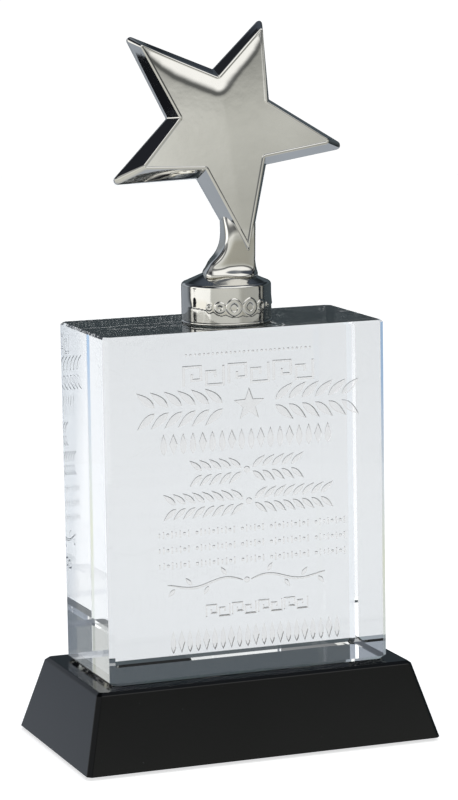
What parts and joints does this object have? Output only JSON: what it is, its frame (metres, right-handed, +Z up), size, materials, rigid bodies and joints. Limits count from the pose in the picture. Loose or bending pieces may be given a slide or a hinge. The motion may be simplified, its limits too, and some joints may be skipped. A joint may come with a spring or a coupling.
{
  "type": "star trophy",
  "caption": "Cast metal star leaning back on a round metal collar, bonded to an engraved clear crystal block on a flared dark crystal plinth.",
  "frame": {"origin": "at floor level, under the middle of the plinth", "axes": "+Z up, front face of the block towards -Y, width along X"},
  "size_m": [0.1084, 0.0652, 0.2085],
  "materials": {
    "dark_crystal": "polished",
    "clear_crystal": "polished, front engraved",
    "foot_vinyl": "clear satin",
    "adhesive": "clear",
    "star_metal": "polished nickel plate",
    "collar_metal": "polished nickel plate",
    "fixing_steel": "zinc plated"
  },
  "bodies": {
    "root": {"base_plinth": "dark_crystal", "foot_front_left": "foot_vinyl", "foot_front_right": "foot_vinyl", "foot_back_left": "foot_vinyl", "foot_back_right": "foot_vinyl", "base_bond": "adhesive", "crystal_block": "clear_crystal", "collar_bond": "adhesive", "mounting_disc": "collar_metal", "collar": "collar_metal", "lock_nut": "fixing_steel", "lock_washer": "fixing_steel", "threaded_stud": "fixing_steel", "star_casting": "star_metal"}
  },
  "joints": []
}
